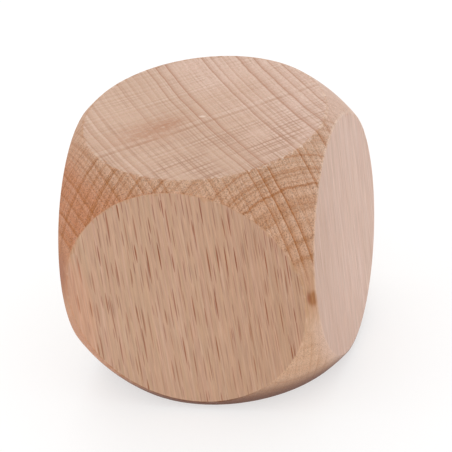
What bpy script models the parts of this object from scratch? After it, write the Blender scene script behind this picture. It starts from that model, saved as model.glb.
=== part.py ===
"""A blank wooden die: one block of beech with six round flats and ball-turned corners and edges.

The block is a ball cut by six flats. Each opposite pair of flats is one turned blank: a disc with a
softened rim that falls away outside the ball. The ball is cut to what it shares with the three blanks.
Metres, +Z up along the grain, origin at the middle of the flat that the die rests on.
"""

import math

import bmesh
import bpy
from mathutils import Matrix, Vector

# Driving dimensions
SIDE = 0.030  # across two opposite flats
BALL_TO_SIDE = 0.684  # radius of the ball over the distance across flats
RIM_BREAK = 0.00025  # width of the softened rim of each flat

# Fineness
BALL_SEGMENTS = 96
BALL_RINGS = 48
FLAT_SEGMENTS = 72
SHARP_FROM = math.radians(12)  # sharper edges than this keep a crisp shading

# Sizes that follow
HALF_SIDE = SIDE / 2
BALL_RADIUS = SIDE * BALL_TO_SIDE
RIM_RADIUS = math.sqrt(BALL_RADIUS**2 - HALF_SIDE**2)
RIM_ANGLE = math.atan2(RIM_RADIUS, HALF_SIDE)  # between a flat and the ball where they meet
CENTRE = Vector((0, 0, HALF_SIDE))

COLLECTION = "wooden_die"
CUTTERS = "cutters"

# Each blank is turned about its own Z and then laid along one axis of the die.
TURNED_ABOUT = {
    "blank_z": Matrix.Identity(4),
    "blank_x": Matrix.Rotation(math.radians(90), 4, "Y"),
    "blank_y": Matrix.Rotation(math.radians(90), 4, "X"),
}


def clear_scene():
    for obj in list(bpy.data.objects):
        bpy.data.objects.remove(obj, do_unlink=True)


def new_collection(name):
    collection = bpy.data.collections.new(name)
    bpy.context.scene.collection.children.link(collection)
    return collection


def beech():
    """Pale pinkish-brown beech, sanded and left without a finish."""
    material = bpy.data.materials.new("beech")
    material.use_nodes = True
    shader = material.node_tree.nodes["Principled BSDF"]
    shader.inputs["Base Color"].default_value = (0.53, 0.33, 0.22, 1)
    shader.inputs["Roughness"].default_value = 0.62
    shader.inputs["Metallic"].default_value = 0
    return material


def ball(name, collection):
    """The whole ball that the corners and edges belong to."""
    mesh = bpy.data.meshes.new(name)
    shape = bmesh.new()
    bmesh.ops.create_uvsphere(
        shape, u_segments=BALL_SEGMENTS, v_segments=BALL_RINGS, radius=BALL_RADIUS
    )
    shape.to_mesh(mesh)
    shape.free()
    obj = bpy.data.objects.new(name, mesh)
    obj.location = CENTRE
    collection.objects.link(obj)
    return obj


def blank_profile():
    """Half section of a turned blank, from the middle of its upper flat round to its lower flat.

    The slope outside the flat lies halfway between the flat and the ball, so it takes the arris off
    where the two would meet, and outside the ball it cuts nothing.
    """
    slope = math.tan(RIM_ANGLE / 2)
    flat_radius = RIM_RADIUS - RIM_BREAK * math.cos(RIM_ANGLE / 2)
    outer_radius = 1.1 * BALL_RADIUS
    outer_height = HALF_SIDE - (outer_radius - flat_radius) * slope
    upper = [(0, HALF_SIDE), (flat_radius, HALF_SIDE), (outer_radius, outer_height)]
    lower = [(radius, -height) for radius, height in reversed(upper)]
    return upper + lower


def blank(name, turn, collection):
    """One turned blank, laid along its axis through the centre of the die."""
    profile = blank_profile()
    mesh = bpy.data.meshes.new(name)
    edges = [(i, i + 1) for i in range(len(profile) - 1)]
    mesh.from_pydata([(radius, 0, height) for radius, height in profile], edges, [])
    obj = bpy.data.objects.new(name, mesh)
    obj.matrix_world = Matrix.Translation(CENTRE) @ turn
    obj.hide_render = True
    obj.display_type = "WIRE"
    collection.objects.link(obj)
    screw = obj.modifiers.new("turning", "SCREW")
    screw.axis = "Z"
    screw.steps = FLAT_SEGMENTS
    screw.render_steps = FLAT_SEGMENTS
    screw.use_merge_vertices = True
    screw.merge_threshold = 0.00001
    return obj


def cut_to(obj, cutter):
    """Keeps only what the object shares with the cutter."""
    modifier = obj.modifiers.new(f"cut to {cutter.name}", "BOOLEAN")
    modifier.operation = "INTERSECT"
    modifier.solver = "EXACT"
    modifier.object = cutter


def apply_cuts(obj):
    """Makes the cut shape the object's own mesh, so that its new edges can be shaded."""
    evaluated = obj.evaluated_get(bpy.context.evaluated_depsgraph_get())
    mesh = bpy.data.meshes.new_from_object(evaluated)
    obj.modifiers.clear()
    obj.data = mesh


def shade(obj):
    """Smooth over the ball, crisp at the rims of the flats."""
    obj.data.shade_smooth()
    obj.data.set_sharp_from_angle(angle=SHARP_FROM)


def main():
    clear_scene()
    parts = new_collection(COLLECTION)
    cutters = new_collection(CUTTERS)
    die = ball("die_block", parts)
    for name, turn in TURNED_ABOUT.items():
        cut_to(die, blank(name, turn, cutters))
    apply_cuts(die)
    die.data.materials.clear()
    die.data.materials.append(beech())
    shade(die)


main()
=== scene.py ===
"""The looks of the blank beech die: a fine mesh of the block, its wood, a pale floor, soft light, a camera.

Lengths are in metres unless a comment says otherwise. Shapes and wood are worked out in half sides of the
die, from its centre: x to the right flat, y to the back flat, z up along the grain to the top flat. In the
wood, "across" runs across the growth rings from the bark's side towards the heart of the tree (rightwards
and backwards), and "along" runs along the rings (leftwards and backwards).
"""

import math
from collections import namedtuple

import bpy
import numpy as np
from mathutils import Matrix, Vector


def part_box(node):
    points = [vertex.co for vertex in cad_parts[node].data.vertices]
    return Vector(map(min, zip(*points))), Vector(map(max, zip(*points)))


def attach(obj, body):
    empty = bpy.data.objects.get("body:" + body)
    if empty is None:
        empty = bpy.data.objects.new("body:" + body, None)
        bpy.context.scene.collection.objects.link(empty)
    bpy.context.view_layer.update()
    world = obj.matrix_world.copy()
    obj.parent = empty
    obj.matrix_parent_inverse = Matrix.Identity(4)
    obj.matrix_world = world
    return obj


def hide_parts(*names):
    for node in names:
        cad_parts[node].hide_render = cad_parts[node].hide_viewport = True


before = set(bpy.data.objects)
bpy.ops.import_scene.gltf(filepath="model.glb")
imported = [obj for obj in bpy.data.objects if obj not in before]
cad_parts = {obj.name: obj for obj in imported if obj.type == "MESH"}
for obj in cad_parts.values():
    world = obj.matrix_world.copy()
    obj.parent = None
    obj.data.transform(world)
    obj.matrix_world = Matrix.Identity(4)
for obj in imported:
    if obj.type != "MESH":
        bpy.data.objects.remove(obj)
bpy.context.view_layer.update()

Wave = namedtuple("Wave", "size pace start")  # a sine wave; pace in radians per half side, start in radians
Grain = namedtuple("Grain", "across along up")  # a place in the wood
Zones = namedtuple("Zones", "turned end_flat side net arris")  # kinds of surface, as shares
Rings = namedtuple("Rings", "line late early")  # the stretches of a growth ring, as shares
Lines = namedtuple("Lines", "spacing half_width seed unevenness faintest", defaults=(1.0, 0.0))
RayEnds = namedtuple("RayEnds", "spacing height half_width longest seed")
Spot = namedtuple("Spot", "centre reach softness")

NODE = "die_block"
BODY = "root"
PIECE = "beech_block"

# The block, in half sides
BALL_RADIUS = 1.368
RIM_RADIUS = math.sqrt(BALL_RADIUS**2 - 1)
RIM_SOFTNESS = 0.009  # half the width of the rounded arris around a flat
RIM_WOBBLE = 0.004  # how far a rim wanders in and out
SOFTNESS_WOBBLE = 0.35  # share of the softness that changes round a rim
WOBBLE_WAVES = range(2, 12)  # how many times each wave of a rim's wobble goes up and down round it
WEAKEST_WAVE = 0.4  # over the strongest such wave
WOBBLE_SUM = 2.2  # brings the sum of those waves to about -1 to 1
GROWTH_RELIEF = 0.0004  # how far the turned ball is worn back between its hard rings

# Fineness: steps of a face's grid from the middle of its flat to where the next face's grid begins
FLAT_STEPS = 37
ARRIS_STEPS = 4
BALL_STEPS = 22
HALF_GRID = FLAT_STEPS + ARRIS_STEPS + BALL_STEPS
GRID_SIDE = 2 * HALF_GRID + 1
WELD_DECIMALS = 6

# The tree the block was cut from
PITH_ANGLE = math.radians(39.2)  # from the right flat towards the back, the way to the heart
PITH_X = math.cos(PITH_ANGLE)
PITH_Y = math.sin(PITH_ANGLE)
RING_BEND = 0.051  # how strongly the rings curve round the heart
GRAIN_LEAN = -0.035  # how far the grain moves along x for each half side down from the top
RING_TAPER = -0.082  # how far the rings move across for each half side down, as the trunk widens
GRAIN_WAVER = 0.007  # how far the grain wanders aside
GRAIN_WAVER_SCALE = 2.3  # how fine that wandering is, per half side

# Its growth rings, counted across the block: mostly even, in turn narrower and wider
RINGS_PER_HALF_SIDE = 12.9
RINGS_WIDEN = -0.65  # times the square of the way across: wider rings towards the heart
RING_START = -0.5  # shifts the whole count
RING_WAVES = (Wave(size=0.24, pace=5.2, start=-0.25), Wave(size=0.22, pace=11.7, start=2.5))
RING_WAVER = 0.05  # how far the line of a ring wanders, in rings
RING_SEED = 12001.0  # draws each ring's strength
LINE_FADE = 6.6  # how fast the line at the end of a ring fades into the next ring
LATE_FADE = 1.6  # the same for the darker wood around the line
LINE_LEAD = 0.08  # the last share of a ring, which is as strong as the line after it
FAINTEST_RING = 0.15  # over the boldest

# Lines on the end grain, in half sides
FINE_RINGS = Lines(spacing=0.028, half_width=0.0058, seed=3.3, unevenness=0.7, faintest=0.3)
PALE_RINGS = Lines(spacing=0.031, half_width=0.0055, seed=11.9)
FINE_RAYS = Lines(spacing=0.044, half_width=0.0088, seed=5.7, unevenness=0.7, faintest=0.3)
PALE_RAYS = Lines(spacing=0.041, half_width=0.0080, seed=17.1)
STRONG_RAYS = Lines(spacing=0.070, half_width=0.0050, seed=8.2, faintest=0.2)
BOLD_RAYS = Lines(spacing=0.110, half_width=0.0075, seed=4914.0)
THIN_RAYS = Lines(spacing=0.057, half_width=0.0048, seed=21.3)
RAY_WAVER = 0.006  # how far the bold, thin and strong rays wander

# Dark marks where the rays end on the long-grain sides, in half sides
LARGE_ENDS = RayEnds(spacing=0.042, height=0.42, half_width=0.0031, longest=0.44, seed=0.0)
SMALL_ENDS = RayEnds(spacing=0.025, height=0.28, half_width=0.0025, longest=0.46, seed=7.3)
SHORTEST_END = 0.4  # over the longest
FAINTEST_END = 0.3  # over the darkest

# Noise in the wood: how fine it is across the rings, along them and up the grain, per half side
CLOUDS = (1.4, 1.4, 0.6)
PATCHES = (3.5, 3.5, 2.0)
RING_WANDER = (4.5, 4.5, 0.9)
BLOTCHES = (18, 30, 2.0)
RAY_WANDER = (22, 22, 22)
RIM_BEADS = (24, 24, 24)
TORN_FIBRES = (30, 30, 4.0)
BLUSH_FIBRES = (38, 38, 0.8)
TAN_FIBRES = (44, 44, 0.9)
STREAKS = (66, 66, 1.6)
FINE_FIBRES = (120, 120, 5.5)
PORE_FINENESS = 105

TORN_REACH = 0.024  # how far torn fibres reach from the ball into a flat, in half sides
PORE_CREST = 0.35  # cuts the pores' noise off above, so that it dips deeper than it rises
FINEST_RELIEF = 0.00003  # depth in metres of the fibres, pores and rings that are only in the shading


def srgb(red, green, blue):
    """A colour given as screen values, 0 to 255, as linear light."""
    values = [v / 255 for v in (red, green, blue)]
    return tuple(v / 12.92 if v <= 0.04045 else ((v + 0.055) / 1.055) ** 2.4 for v in values) + (1,)


HONEY = srgb(190, 149, 116)  # wood on the bark's side
ROSE = srgb(209, 173, 156)  # wood on the heart's side; paler and pinker on the faces towards the heart, partly painted sheen
TAN = srgb(181, 141, 110)  # browner patches and fibres
BLUSH = srgb(195, 147, 124)  # pinker fibres
DEEP_TAN = srgb(165, 115, 80)  # the front end of the rings
PALE_CELL = srgb(227, 200, 180)  # pale fibres, fine pale lines, and sanded rims that also carry painted highlights
OPEN_END = srgb(199, 157, 129)  # end grain on the turned ball
BARK_END = srgb(190, 125, 90)  # the same, towards the bark
HEART_END = srgb(222, 194, 175)  # the same, towards the heart
RING_BROWN = srgb(144, 85, 22)  # fine lines on the end grain
NET_BROWN = srgb(153, 84, 12)  # bold lines on the end grain
RAY_BROWN = srgb(134, 66, 32)  # ray marks on the sides
SMUDGE_BROWN = srgb(162, 96, 36)
SALMON = srgb(198, 141, 108)  # a patch on the bark's side
KNOT_BROWN = srgb(158, 102, 58)
BURNT = srgb(140, 74, 48)  # the knot's edge and a burnt arris
# painted shade: a dark brown for the turned wood just above the bottom flat, where it curves under towards
# the floor
UNDERSIDE_SHADE = srgb(92, 42, 18)
FADED = srgb(212, 182, 166)  # worn rims near the heart
CREAM = srgb(218, 182, 152)  # the lower turned corner by the right flat

# The marks of this one block. The smudge lies in the grain's axes and the others in the die's.
SMUDGE = Spot(centre=(-0.42, 0.03, 1.0), reach=(0.46, 0.27, 0.20), softness=0.95)
SMUDGE_CORE = Spot(centre=(-0.26, 0.07, 1.0), reach=(0.18, 0.08, 0.20), softness=0.9)
FLECK = Spot(centre=(-0.016, 0.002, 1.0), reach=(0.040, 0.022, 0.10), softness=0.8)
KNOT = Spot(centre=(0.985, -0.955, 0.025), reach=(0.066, 0.060, 0.090), softness=0.6)
KNOT_EDGE = Spot(centre=(0.950, -0.975, 0.045), reach=(0.020, 0.040, 0.080), softness=0.8)
SALMON_PATCH = Spot(centre=(-1.15, -1.0, -0.25), reach=(0.44, 0.60, 1.10), softness=0.16)
BURNT_ARRIS = Spot(centre=(-0.99, -0.96, 0.16), reach=(0.13, 0.13, 0.36), softness=0.9)

# The stage: the light hangs above and behind the die, a little to its left
FLOOR_REACH = 6.0
FLOOR_GREY = 0.40
FLOOR_MOTTLE = 0.005
FLOOR_GLOW = 0.60  # keeps the floor near white
WORLD_STRENGTH = 1.0
LIGHT_FROM = (-0.27, 0.81, 0.52)
LIGHT_DISTANCE = 0.9
LIGHT_SIZE = 0.6
LIGHT_WATTS = 1.1

# The camera, in degrees, half sides and millimetres
AZIMUTH = 18.186
ELEVATION = 31.038
ROLL = -7.333
DISTANCE = 34.414
ASIDE = (0.05358, 0.02245)  # how far the camera stands to the right of the die's centre and above it
FIELD_OF_VIEW = 5.779
SENSOR_MM = 36


# ---------------------------------------------------------------- the block


def centre_and_half_side():
    """The die's centre and half its side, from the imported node."""
    low, high = (Vector(corner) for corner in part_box(NODE))
    return (low + high) / 2, (high - low).z / 2


def ring_phase(points):
    """Which growth ring each point is in, counted towards the heart, like growth_rings in the wood."""
    x, y, z = points.T
    x = x + GRAIN_LEAN * (1 - z)
    across = PITH_X * x + PITH_Y * y + 2 * RING_BEND * x * y + RING_TAPER * (1 - z)
    waves = sum(wave.size * np.sin(wave.pace * across + wave.start) for wave in RING_WAVES)
    return RINGS_PER_HALF_SIDE * across + RINGS_WIDEN * across**2 + waves + RING_START


def face_directions(i, j):
    """In-plane unit directions for grid steps i, j: each square ring of steps laid round as a circle."""
    step = np.maximum(np.maximum(np.abs(i), np.abs(j)), 1)
    eighth_turn = math.pi / 4
    near_i_axis = eighth_turn * j / step * np.sign(i) + np.where(i < 0, math.pi, 0)
    near_j_axis = eighth_turn * (2 - i / step * np.sign(j)) + np.where(j < 0, math.pi, 0)
    angle = np.where(np.abs(i) >= np.abs(j), near_i_axis, near_j_axis)
    return np.cos(angle), np.sin(angle)


def bezier(start, middle, end, t):
    return (1 - t) ** 2 * start + 2 * t * (1 - t) * middle + t**2 * end


def face_profile(step, cos_a, sin_a, wobble):
    """Distance from the flat's axis and height along it for every grid point of one face.

    From the middle out: the flat, the softened arris, and the ball as far as the next face's points.
    """
    rim = RIM_RADIUS + RIM_WOBBLE * wobble
    softness = RIM_SOFTNESS * (1 + SOFTNESS_WOBBLE * wobble)
    flat_edge = rim - softness
    rim_angle = np.arctan2(rim, np.sqrt(BALL_RADIUS**2 - rim**2))
    ball_start = rim_angle + softness / BALL_RADIUS
    ball_end = np.arctan(1 / np.maximum(np.abs(cos_a), np.abs(sin_a)))

    on_arris = (step - FLAT_STEPS) / ARRIS_STEPS
    on_ball = (step - FLAT_STEPS - ARRIS_STEPS) / BALL_STEPS
    polar = ball_start + (ball_end - ball_start) * on_ball
    stretches = [on_ball > 0, on_arris > 0]
    arris_radius = bezier(flat_edge, rim, BALL_RADIUS * np.sin(ball_start), on_arris)
    arris_height = bezier(1, 1, BALL_RADIUS * np.cos(ball_start), on_arris)
    flat_radius = flat_edge * (step / FLAT_STEPS)
    radius = np.select(stretches, [BALL_RADIUS * np.sin(polar), arris_radius], flat_radius)
    height = np.select(stretches, [BALL_RADIUS * np.cos(polar), arris_height], 1)
    return radius, np.minimum(height, 1)  # nothing may stand above the flat


def rim_wobble(angle, seed):
    """The slow unevenness of a hand-sanded rim, about -1 to 1, that closes on itself."""
    random = np.random.default_rng(seed)
    total = 0
    for count in WOBBLE_WAVES:
        start = random.uniform(0, 2 * math.pi)
        size = random.uniform(WEAKEST_WAVE, 1) / count**0.5
        total = total + size * np.sin(count * angle + start)
    return total / WOBBLE_SUM


def face_points(axis, sign):
    """Points of one face's grid, in half sides from the die's centre, and how far each is onto the ball.

    One direction in the plane turns round with the sign, so that every face's quads look outwards.
    """
    steps = np.arange(-HALF_GRID, HALF_GRID + 1, dtype=float)
    i, j = (grid.ravel() for grid in np.meshgrid(steps, steps, indexing="ij"))
    step = np.maximum(np.abs(i), np.abs(j))
    cos_a, sin_a = face_directions(i, j)
    wobble = rim_wobble(np.arctan2(sin_a, cos_a), seed=2 * axis + (sign > 0))
    radius, height = face_profile(step, cos_a, sin_a, wobble)
    points = np.empty((GRID_SIDE**2, 3))
    points[:, axis] = sign * height
    points[:, (axis + 1) % 3] = radius * cos_a * sign
    points[:, (axis + 2) % 3] = radius * sin_a
    turned = np.clip((step - FLAT_STEPS) / ARRIS_STEPS, 0, 1)
    return points, turned


def face_quads(first):
    """The corners of each quad of a face's grid, whose points are numbered on from first."""
    row = np.arange(GRID_SIDE - 1)[:, None] * GRID_SIDE
    column = np.arange(GRID_SIDE - 1)[None, :]
    corner = first + (row + column).ravel()
    return np.stack([corner, corner + GRID_SIDE, corner + GRID_SIDE + 1, corner + 1], axis=1)


def welded(points, quads, turned):
    """One point for each place: neighbouring faces meet in the same points."""
    places = np.round(points, WELD_DECIMALS)
    _, first, index = np.unique(places, axis=0, return_index=True, return_inverse=True)
    return points[first], index.reshape(-1)[quads], turned[first]


def with_relief(points, turned):
    """The turned ball, worn back a little except at the hard end of each growth ring."""
    late = 0.5 + 0.5 * np.cos(2 * math.pi * ring_phase(points))
    outward = points / np.linalg.norm(points, axis=1)[:, None]
    return points + outward * (GROWTH_RELIEF * turned * (late**3 - 1))[:, None]


def block_mesh(centre, half):
    faces = [face_points(axis, sign) for axis in range(3) for sign in (-1, 1)]
    points = np.concatenate([places for places, _ in faces])
    turned = np.concatenate([shares for _, shares in faces])
    quads = np.concatenate([face_quads(number * GRID_SIDE**2) for number in range(len(faces))])
    points, quads, turned = welded(points, quads, turned)
    places = np.array(centre) + half * with_relief(points, turned)
    mesh = bpy.data.meshes.new(PIECE)
    mesh.from_pydata(places.tolist(), [], quads.tolist())
    mesh.validate()
    mesh.shade_smooth()
    return mesh


# ---------------------------------------------------------------- nodes


class Nodes:
    """Short names for the nodes of one material. The functions below call it w."""

    def __init__(self, name):
        self.material = bpy.data.materials.new(name)
        self.material.use_nodes = True
        self.tree = self.material.node_tree
        self.shader = self.tree.nodes["Principled BSDF"]

    def node(self, kind, settings=None, **inputs):
        made = self.tree.nodes.new(kind)
        for key, value in (settings or {}).items():
            setattr(made, key, value)
        for key, value in inputs.items():
            self.feed(made.inputs[key.replace("_", " ")], value)
        return made

    def feed(self, socket, value):
        if isinstance(value, bpy.types.NodeSocket):
            self.tree.links.new(value, socket)
        else:
            socket.default_value = value

    def math(self, operation, *values, clamp=False):
        made = self.node("ShaderNodeMath", {"operation": operation, "use_clamp": clamp})
        for socket, value in zip(made.inputs, values):
            self.feed(socket, value)
        return made.outputs[0]

    def add(self, total, *values):
        for value in values:
            total = self.math("ADD", total, value)
        return total

    def times(self, product, *values):
        for value in values:
            product = self.math("MULTIPLY", product, value)
        return product

    def larger(self, a, b):
        return self.math("MAXIMUM", a, b)

    def smaller(self, a, b):
        return self.math("MINIMUM", a, b)

    def absolute(self, value):
        return self.math("ABSOLUTE", value)

    def rest(self, value):
        """What is left of 1."""
        return self.math("SUBTRACT", 1.0, value)

    def ramp(self, value, at_0, at_1):
        """at_0 where the value is 0 and at_1 where it is 1, in a straight line."""
        return self.add(self.times(value, at_1 - at_0), at_0)

    def rise(self, value, low, high):
        """0 below low, 1 above high, smooth between."""
        made = self.node("ShaderNodeMapRange", {"interpolation_type": "SMOOTHSTEP"}, Value=value)
        self.feed(made.inputs["From Min"], low)
        self.feed(made.inputs["From Max"], high)
        return made.outputs[0]

    def fall(self, value, low, high):
        """1 below low, 0 above high, smooth between."""
        return self.rest(self.rise(value, low, high))

    def share(self, noise, usual, spread):
        """A share from 0 to 1 that a noise moves up and down from its usual value."""
        return self.math("ADD", self.times(noise, spread), usual, clamp=True)

    def vector(self, x, y, z):
        return self.node("ShaderNodeCombineXYZ", X=x, Y=y, Z=z).outputs[0]

    def split(self, vector):
        return self.node("ShaderNodeSeparateXYZ", Vector=vector).outputs

    def vector_math(self, operation, *vectors, output="Vector"):
        made = self.node("ShaderNodeVectorMath", {"operation": operation})
        for socket, vector in zip(made.inputs, vectors):
            self.feed(socket, vector)
        return made.outputs[output]

    def length(self, vector):
        return self.vector_math("LENGTH", vector, output="Value")

    def object_place(self):
        return self.node("ShaderNodeTexCoord").outputs["Object"]

    def normal(self):
        """The surface's direction, as x, y and z."""
        return self.split(self.node("ShaderNodeNewGeometry").outputs["Normal"])

    def white_noise(self, value):
        return self.node("ShaderNodeTexWhiteNoise", {"noise_dimensions": "1D"}, W=value).outputs[0]

    def noise(self, place, scale, size=1.0, detail=2.0):
        """Noise around 0 that seldom leaves -size to size."""
        made = self.node("ShaderNodeTexNoise", Vector=place, Scale=scale, Detail=detail)
        return self.times(self.add(made.outputs[0], -0.5), 4 * size)

    def mix(self, factor, a, b, blend="MIX"):
        """Colour a where the factor is 0 and b where it is 1.

        The node's colour sockets are inputs 6 and 7 and output 2.
        """
        made = self.node("ShaderNodeMix", {"data_type": "RGBA", "blend_type": blend})
        self.feed(made.inputs[0], factor)
        self.feed(made.inputs[6], a)
        self.feed(made.inputs[7], b)
        return made.outputs[2]

    def tint(self, colour, towards, *where, strength=1.0):
        """The colour, moved towards another by the strength, where all the shares are 1."""
        return self.mix(self.times(*where, strength), colour, towards)


# ---------------------------------------------------------------- the wood's own space


def wood_place(w, centre, half):
    """The point in half sides from the die's centre."""
    from_centre = w.vector_math("SUBTRACT", w.object_place(), tuple(centre))
    return w.vector_math("MULTIPLY", from_centre, (1 / half, 1 / half, 1 / half))


def grain_axes(w, place):
    """Across the rings towards the heart, along the rings, and up the grain.

    The first two waver a little, ten times more slowly up the grain than over it.
    """
    x, y, z = w.split(place)
    slow_z = w.times(z, 0.1)
    lean = w.times(w.rest(z), GRAIN_LEAN)
    x = w.add(x, lean, w.noise(w.vector(x, y, slow_z), GRAIN_WAVER_SCALE, GRAIN_WAVER, detail=3))
    y = w.add(y, w.noise(w.vector(y, slow_z, x), GRAIN_WAVER_SCALE, GRAIN_WAVER, detail=3))
    bend = w.times(x, y, 2 * RING_BEND)
    across = w.add(w.times(x, PITH_X), w.times(y, PITH_Y), bend)
    squares = w.math("SUBTRACT", w.times(x, x), w.times(y, y))
    along = w.add(w.times(x, -PITH_Y), w.times(y, PITH_X), w.times(squares, -RING_BEND))
    return Grain(across, along, z)


def grain_noise(w, grain, fineness, detail=2.0):
    """Noise from about -1 to 1, as fine as given across the rings, along them and up the grain."""
    place = w.vector_math("MULTIPLY", w.vector(*grain), fineness)
    return w.noise(place, 1.0, detail=detail)


def spot(w, place, mark):
    """1 in the middle of a mark, falling to 0 at its reach along x, y and z."""
    away = w.vector_math("DIVIDE", w.vector_math("SUBTRACT", place, mark.centre), mark.reach)
    return w.fall(w.length(away), 1 - mark.softness, 1.0)


def net_strength(w, grain):
    """How strongly turned end grain shows: less low down, by the heart and far back on the bark's side."""
    upper = w.ramp(w.rise(grain.up, -0.7, 0.3), 0.72, 1)
    away_from_heart = w.ramp(w.rise(grain.across, 0.5, 1.1), 1, 0.5)
    by_bark = w.fall(grain.across, -0.7, -0.3)
    far_bark = w.times(by_bark, w.rise(grain.along, 0.17, 0.38), w.fall(grain.along, 0.8, 1.1))
    return w.times(upper, away_from_heart, w.ramp(far_bark, 1, 0.45))


def surface_zones(w, place, grain):
    """The kinds of surface, as shares from 0 to 1.

    turned: the ball. end_flat: the flats across the grain. side: long grain, flat or turned. net: end grain
    on the ball, where rings and rays make a net. arris: the softened rims of the flats.
    """
    x, y, z = w.split(place)
    _, _, normal_z = w.normal()
    inside_ball = w.math("SUBTRACT", BALL_RADIUS, w.length(place))
    torn = w.times(w.larger(grain_noise(w, grain, TORN_FIBRES), 0.0), w.rise(z, -0.4, 0.2))
    turned = w.fall(w.math("SUBTRACT", inside_ball, w.times(torn, TORN_REACH)), 0.003, 0.007)
    opened = w.rise(w.absolute(normal_z), 0.08, 0.36)
    outermost = w.larger(w.larger(w.absolute(x), w.absolute(y)), w.absolute(z))
    return Zones(
        turned=turned,
        end_flat=w.times(opened, w.rest(turned)),
        side=w.rest(opened),
        net=w.times(opened, turned, net_strength(w, grain)),
        arris=w.times(w.rise(outermost, 0.988, 0.996), w.fall(inside_ball, 0.004, 0.014)),
    )


# ---------------------------------------------------------------- the wood's colour, with some painted shade and highlights


def plain_wood(w, grain, zones):
    """The wood between its lines: honey towards the bark, rosier and paler near the heart and facing it,
    partly the wood's own tone and partly painted sheen.
    """
    normal_x, normal_y, _ = w.normal()
    cloud = grain_noise(w, grain, CLOUDS)
    near_heart = w.times(w.rise(w.add(grain.across, w.times(cloud, 0.5)), -0.1, 1.0), zones.end_flat)
    facing_heart = w.add(w.times(normal_x, PITH_X), w.times(normal_y, PITH_Y))
    # partly painted sheen: the right and back flats, which face the heart, are paler and pinker than the
    # front and left
    colour = w.mix(w.larger(near_heart, w.rise(facing_heart, 0.35, 0.62)), HONEY, ROSE)
    # partly painted sheen: the top flat is paler near the heart
    colour = w.tint(colour, PALE_CELL, near_heart, strength=0.25)
    tan = w.share(grain_noise(w, grain, TAN_FIBRES), usual=0.36, spread=0.50)
    colour = w.tint(colour, TAN, tan)
    blush = w.share(grain_noise(w, grain, BLUSH_FIBRES), usual=0.18, spread=0.42)
    colour = w.tint(colour, BLUSH, blush)
    front_end = w.fall(grain.along, -1.35, -0.45)
    colour = w.tint(colour, DEEP_TAN, front_end, strength=w.ramp(zones.turned, 0.32, 0.06))
    bark_side = w.fall(grain.across, -0.7, 0.5)
    colour = w.tint(colour, TAN, bark_side, zones.end_flat, strength=0.18)
    tan_band = w.times(w.rise(grain.across, -0.46, -0.30), w.fall(grain.across, -0.08, 0.04))
    return w.tint(colour, TAN, tan_band, zones.end_flat, strength=0.30)


def open_end_grain(w, grain, net, colour):
    """Turned end grain: reddish towards the bark, pale towards the heart and where it faces upwards."""
    _, _, normal_z = w.normal()
    upwards = w.rise(normal_z, 0.58, 0.74)
    open_end = w.mix(w.rise(grain.across, -1.25, -0.3), BARK_END, OPEN_END)
    open_end = w.mix(w.rise(grain.across, 0.05, 0.9), open_end, HEART_END)
    colour = w.tint(colour, open_end, net, strength=w.ramp(upwards, 0.88, 0.28))
    return w.tint(colour, PALE_CELL, net, upwards, strength=0.26)


def sine(w, position, wave):
    angle = w.add(w.times(position, wave.pace), wave.start)
    return w.times(w.math("SINE", angle), wave.size)


def growth_rings(w, grain):
    """The line at the end of each ring, the darker wood after it and the paler wood before it.

    Each ring has a strength of its own, and the one through the middle of the block is always bold.
    """
    across = w.add(grain.across, w.times(w.rest(grain.up), RING_TAPER))
    waves = [sine(w, across, wave) for wave in RING_WAVES]
    even = w.add(w.times(across, RINGS_PER_HALF_SIDE), w.times(across, across, RINGS_WIDEN))
    waver = grain_noise(w, grain._replace(across=across), RING_WANDER)
    phase = w.add(even, *waves, RING_START, w.times(waver, RING_WAVER))

    since_line = w.math("FRACT", phase)
    number = w.math("FLOOR", w.add(phase, LINE_LEAD))
    own_strength = w.ramp(w.white_noise(w.add(number, RING_SEED)), FAINTEST_RING, 1)
    middle = w.fall(w.absolute(across), 0.06, 0.10)
    strength = w.larger(own_strength, middle)
    after = w.math("EXPONENT", w.times(since_line, -LINE_FADE))
    before = w.rise(since_line, 0.945, 1.0)
    late = w.math("EXPONENT", w.times(since_line, -LATE_FADE))
    early = w.times(w.rise(since_line, 0.5, 0.85), w.fall(since_line, 0.88, 0.96))
    return Rings(
        line=w.times(w.larger(after, before), strength),
        late=w.times(late, strength),
        early=w.times(early, strength),
    )


def lines(w, position, kind):
    """Fine lines at uneven steps along a position, each with a strength of its own, up to 1."""
    place = w.add(w.times(position, 1 / kind.spacing), kind.seed)
    one_way = {"voronoi_dimensions": "1D"}
    cells = w.node("ShaderNodeTexVoronoi", one_way, W=place, Scale=1.0, Randomness=kind.unevenness)
    _, own_strength, _ = w.split(cells.outputs["Color"])
    half_width = kind.half_width / kind.spacing
    full, gone = 0.4 * half_width, 1.4 * half_width
    line = w.fall(cells.outputs["Distance"], full, gone)
    return w.times(line, w.ramp(own_strength, kind.faintest, 1))


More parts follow.
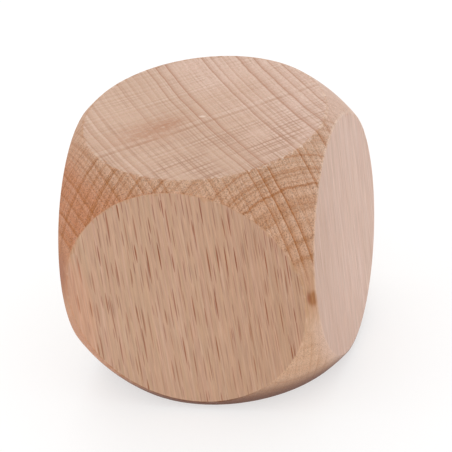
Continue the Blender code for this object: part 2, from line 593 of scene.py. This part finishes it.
def end_grain_marks(w, grain, zones, rings, colour):
    """The rings and rays where the wood is cut across, on the flats and on the ball."""
    patchy = w.share(grain_noise(w, grain, PATCHES), usual=0.62, spread=0.90)
    patchy = w.larger(patchy, w.times(zones.net, 0.62))  # no bare patches on the ball
    toward_front = w.fall(grain.along, -0.9, 0.5)
    toward_bark = w.fall(grain.across, -0.95, -0.35)
    wavering = w.add(grain.along, w.times(grain_noise(w, grain, RAY_WANDER), RAY_WAVER))

    def draw(colour, towards, marks, *, on_flat, on_ball):
        where = w.add(w.times(zones.end_flat, on_flat), w.times(zones.net, on_ball))
        return w.tint(colour, towards, marks, where)

    colour = draw(colour, RING_BROWN, rings.late, on_flat=0.13, on_ball=0.13)
    colour = draw(colour, PALE_CELL, rings.early, on_flat=0.12, on_ball=0.10)
    pale_rings = lines(w, grain.across, PALE_RINGS)
    colour = draw(colour, PALE_CELL, pale_rings, on_flat=0.20, on_ball=0.08)
    pale_rays = w.times(lines(w, grain.along, PALE_RAYS), patchy)
    colour = draw(colour, PALE_CELL, pale_rays, on_flat=0.34, on_ball=0.14)
    bold_rays = lines(w, wavering, BOLD_RAYS)
    few_bold_rays = w.times(bold_rays, bold_rays)
    colour = draw(colour, NET_BROWN, few_bold_rays, on_flat=0.12, on_ball=0.48)
    thin_rays = lines(w, wavering, THIN_RAYS)
    colour = draw(colour, NET_BROWN, thin_rays, on_flat=0.0, on_ball=w.ramp(toward_bark, 0.42, 0.46))
    ring_on_flat = w.ramp(w.rise(grain.across, -0.6, 0.0), 0.60, 0.98)
    ring_on_ball = w.ramp(toward_bark, 0.80, 0.50)
    colour = draw(colour, NET_BROWN, rings.line, on_flat=ring_on_flat, on_ball=ring_on_ball)
    fine_rings = w.times(lines(w, grain.across, FINE_RINGS), patchy)
    colour = draw(colour, RING_BROWN, fine_rings, on_flat=w.ramp(toward_front, 0.38, 0.86), on_ball=0.40)
    fine_rays = w.times(lines(w, grain.along, FINE_RAYS), patchy)
    colour = draw(colour, RING_BROWN, fine_rays, on_flat=w.ramp(toward_front, 0.12, 0.90), on_ball=0.38)
    strong_rays = w.times(lines(w, wavering, STRONG_RAYS), patchy)
    return draw(colour, RING_BROWN, strong_rays, on_flat=0.30, on_ball=w.ramp(toward_bark, 0.56, 0.98))


def ray_ends(w, grain, kind):
    """Spindle-shaped ends of the wood's rays: high along the grain and thin along the rings."""
    sideways = w.add(w.times(grain.along, 1 / kind.spacing), kind.seed)
    place = w.vector(sideways, w.times(grain.up, 1 / kind.height), 0.0)
    cells = w.node("ShaderNodeTexVoronoi", {"voronoi_dimensions": "2D"}, Vector=place, Scale=1.0)
    aside, above, _ = w.split(w.vector_math("SUBTRACT", place, cells.outputs["Position"]))
    own_length, own_depth, _ = w.split(cells.outputs["Color"])
    reach = w.math("DIVIDE", above, w.ramp(own_length, SHORTEST_END * kind.longest, kind.longest))
    taper = w.math("SUBTRACT", 1.0, w.times(reach, reach), clamp=True)
    half_width = kind.half_width / kind.spacing
    inside = w.math("SUBTRACT", w.times(taper, half_width), w.absolute(aside))
    mark = w.rise(inside, -half_width / 2, half_width / 2)
    faint_tips = w.rise(taper, 0.0, 0.25)
    return w.times(mark, faint_tips, w.ramp(own_depth, FAINTEST_END, 1))


def long_grain_marks(w, grain, zones, large_ends, colour):
    """The dark ends of the rays on the sides, fainter low down and on the right flat."""
    normal_x, _, _ = w.normal()
    away_from_right = w.ramp(w.rise(normal_x, 0.6, 0.9), 1, 0.22)
    upper = w.ramp(w.rise(grain.up, -0.7, 0.7), 0.78, 1.08)
    shown = w.times(zones.side, w.rest(zones.turned), away_from_right, upper)
    small_ends = ray_ends(w, grain, SMALL_ENDS)
    colour = w.tint(colour, RAY_BROWN, large_ends, shown, strength=0.90)
    return w.tint(colour, RAY_BROWN, small_ends, shown, strength=0.70)


def top_stains(w, place, grain, colour):
    """A blotchy brown smudge and a pale fleck on the top flat."""
    in_grain = w.vector(*grain)
    smudge = w.times(spot(w, in_grain, SMUDGE), 0.66)
    core = w.times(spot(w, in_grain, SMUDGE_CORE), 0.44)
    blotches = w.share(grain_noise(w, grain, BLOTCHES, detail=3), usual=0.85, spread=0.90)
    colour = w.tint(colour, SMUDGE_BROWN, w.add(smudge, core), blotches)
    return w.tint(colour, PALE_CELL, spot(w, place, FLECK), strength=0.70)


def side_stains(w, place, turned, colour):
    """A small knot by the right flat, and a salmon patch and a burnt arris on the bark's side."""
    _, _, z = w.split(place)
    colour = w.tint(colour, KNOT_BROWN, spot(w, place, KNOT), turned, strength=0.85)
    colour = w.tint(colour, BURNT, spot(w, place, KNOT_EDGE), turned, strength=0.60)
    lower = w.fall(z, 0.15, 0.45)
    colour = w.tint(colour, SALMON, spot(w, place, SALMON_PATCH), lower, strength=0.56)
    return w.tint(colour, BURNT, spot(w, place, BURNT_ARRIS), strength=0.60)


def pale_places_and_painted_shade(w, place, grain, turned, colour):
    """Paler wood low on the right and at the top rim by the heart, and painted shade on the turned wood
    underneath.
    """
    x, _, z = w.split(place)
    lower_right = w.times(w.fall(z, -0.25, 0.0), w.rise(x, 0.1, 0.5))
    right_rim = w.times(w.fall(z, -0.30, -0.05), w.rise(x, 0.90, 1.0))
    heart_rim = w.times(w.rise(z, 0.75, 0.95), w.rise(grain.across, 0.6, 0.95))
    # painted shade: the turned wood darkens towards the bottom flat, all the way round
    painted_shade_below = w.fall(z, -0.97, -0.66)
    colour = w.tint(colour, CREAM, lower_right, turned, strength=0.36)
    colour = w.tint(colour, FADED, right_rim, turned, strength=0.55)
    colour = w.tint(colour, FADED, heart_rim, turned, strength=0.45)
    return w.tint(colour, UNDERSIDE_SHADE, painted_shade_below, turned, strength=0.88)


def rim_wear_and_painted_highlights(w, place, grain, arris, colour):
    """Pale arrises, partly sanded wear and partly painted highlight: along the upper right flat, and in
    beads of torn fibre, most of all round the top.
    """
    x, _, z = w.split(place)
    right_rim = w.times(w.rise(x, 0.975, 0.990), w.rise(z, -0.3, 0.1))
    # partly painted highlight: a pale line along the right flat's rim, where the rounded arris catches the
    # light
    colour = w.tint(colour, PALE_CELL, arris, right_rim, strength=0.30)
    beads = w.rise(grain_noise(w, grain, RIM_BEADS, detail=1), 0.0, 0.7)
    top_rim = w.times(w.rise(z, 0.90, 0.97), w.rise(grain.across, -0.85, -0.25))
    # partly painted highlight: pale beads along the flats' rims, strongest round the top
    return w.tint(colour, PALE_CELL, arris, beads, strength=w.ramp(top_rim, 0.12, 0.60))


def shaded(w, grain, zones, fibre, pores, colour):
    """Light and dark fibres, strongest on the sides, and pores that darken the end grain."""
    streak = grain_noise(w, grain, STREAKS)
    colour = w.tint(colour, PALE_CELL, w.larger(streak, 0.0), zones.side, strength=0.17)
    upper = w.rise(grain.up, -0.4, 0.6)
    dark_streaks = w.times(w.smaller(streak, 0.0), zones.side, w.ramp(upper, 0.07, 0.14))
    dark_pores = w.times(pores, w.add(w.times(zones.net, 0.38), w.times(zones.end_flat, 0.14)))
    fibres = w.times(fibre, w.ramp(zones.side, 0.02, 0.13))
    shade = w.add(dark_pores, fibres, dark_streaks, 1.0)
    return w.mix(1.0, colour, w.vector(shade, shade, shade), "MULTIPLY")


def beech(centre, half):
    """The block's wood: its colour (with painted shade underneath, and painted highlights and sheen in
    part), its sheen and its finest relief.
    """
    w = Nodes("beech_wood")
    place = wood_place(w, centre, half)
    grain = grain_axes(w, place)
    zones = surface_zones(w, place, grain)
    rings = growth_rings(w, grain)
    large_ends = ray_ends(w, grain, LARGE_ENDS)
    fibre = grain_noise(w, grain, FINE_FIBRES)
    pores = w.smaller(w.noise(place, PORE_FINENESS, detail=1), PORE_CREST)

    colour = plain_wood(w, grain, zones)
    colour = open_end_grain(w, grain, zones.net, colour)
    colour = end_grain_marks(w, grain, zones, rings, colour)
    colour = long_grain_marks(w, grain, zones, large_ends, colour)
    colour = top_stains(w, place, grain, colour)
    colour = side_stains(w, place, zones.turned, colour)
    colour = pale_places_and_painted_shade(w, place, grain, zones.turned, colour)
    colour = rim_wear_and_painted_highlights(w, place, grain, zones.arris, colour)
    colour = shaded(w, grain, zones, fibre, pores, colour)

    proud_rings = w.times(rings.line, zones.turned, 0.2)
    open_pores = w.times(pores, zones.net, 0.8)
    height = w.add(w.times(fibre, 0.35), w.times(large_ends, -0.8), proud_rings, open_pores)
    bump = w.node("ShaderNodeBump", Strength=0.5, Distance=FINEST_RELIEF, Height=height)
    roughness = w.add(w.times(fibre, 0.03), w.ramp(zones.turned, 0.40, 0.48))
    specular = w.ramp(w.larger(zones.turned, large_ends), 0.75, 0.13)
    w.feed(w.shader.inputs["Base Color"], colour)
    w.feed(w.shader.inputs["Roughness"], roughness)
    w.feed(w.shader.inputs["Specular IOR Level"], specular)
    w.feed(w.shader.inputs["Normal"], bump.outputs[0])
    return w.material


# ---------------------------------------------------------------- the stage


def floor_material():
    w = Nodes("pale_floor")
    value = w.add(w.noise(w.object_place(), 3.0, FLOOR_MOTTLE), FLOOR_GREY)
    w.feed(w.shader.inputs["Base Color"], w.vector(value, value, value))
    w.feed(w.shader.inputs["Roughness"], 0.9)
    w.feed(w.shader.inputs["Emission Color"], (1, 1, 1, 1))
    w.feed(w.shader.inputs["Emission Strength"], FLOOR_GLOW)
    return w.material


def pale_floor():
    r = FLOOR_REACH
    mesh = bpy.data.meshes.new("floor")
    mesh.from_pydata([(-r, -r, 0), (r, -r, 0), (r, r, 0), (-r, r, 0)], [], [(0, 1, 2, 3)])
    floor = bpy.data.objects.new("floor", mesh)
    bpy.context.scene.collection.objects.link(floor)
    mesh.materials.append(floor_material())


def studio_world():
    world = bpy.data.worlds.new("studio")
    world.use_nodes = True
    background = world.node_tree.nodes["Background"]
    background.inputs["Color"].default_value = (1, 1, 1, 1)
    background.inputs["Strength"].default_value = WORLD_STRENGTH
    bpy.context.scene.world = world


def soft_light(centre):
    """A square soft box behind the die that faces it."""
    light = bpy.data.lights.new("back", "AREA")
    light.size = LIGHT_SIZE
    light.energy = LIGHT_WATTS
    lamp = bpy.data.objects.new("back", light)
    towards = Vector(LIGHT_FROM).normalized()
    lamp.location = centre + towards * LIGHT_DISTANCE
    lamp.rotation_euler = towards.to_track_quat("Z", "Y").to_euler()
    lamp.visible_camera = False
    bpy.context.scene.collection.objects.link(lamp)


def camera(centre, half):
    """Stands where the photo was taken from, with the photo's angle and tilt."""
    azimuth, elevation, roll = (math.radians(a) for a in (AZIMUTH, ELEVATION, ROLL))
    level = math.cos(elevation)
    back = Vector((math.sin(azimuth) * level, -math.cos(azimuth) * level, math.sin(elevation)))
    right = Vector((math.cos(azimuth), math.sin(azimuth), 0))
    up = back.cross(right)
    right, up = (
        math.cos(roll) * right + math.sin(roll) * up,
        math.cos(roll) * up - math.sin(roll) * right,
    )
    data = bpy.data.cameras.new("camera")
    data.sensor_width = SENSOR_MM
    data.lens = SENSOR_MM / 2 / math.tan(math.radians(FIELD_OF_VIEW) / 2)
    eye = bpy.data.objects.new("camera", data)
    place = centre + half * (ASIDE[0] * right + ASIDE[1] * up + DISTANCE * back)
    turn = Matrix((right, up, back)).transposed().to_4x4()
    eye.matrix_world = Matrix.Translation(place) @ turn
    bpy.context.scene.collection.objects.link(eye)
    bpy.context.scene.camera = eye


def build():
    centre, half = centre_and_half_side()
    camera(centre, half)
    studio_world()
    pale_floor()
    soft_light(centre)

    block = bpy.data.objects.new(PIECE, block_mesh(centre, half))
    bpy.context.scene.collection.objects.link(block)
    block.data.materials.append(beech(centre, half))
    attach(block, BODY)
    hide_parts(NODE)
    bpy.context.scene.view_settings.view_transform = "Standard"


build()
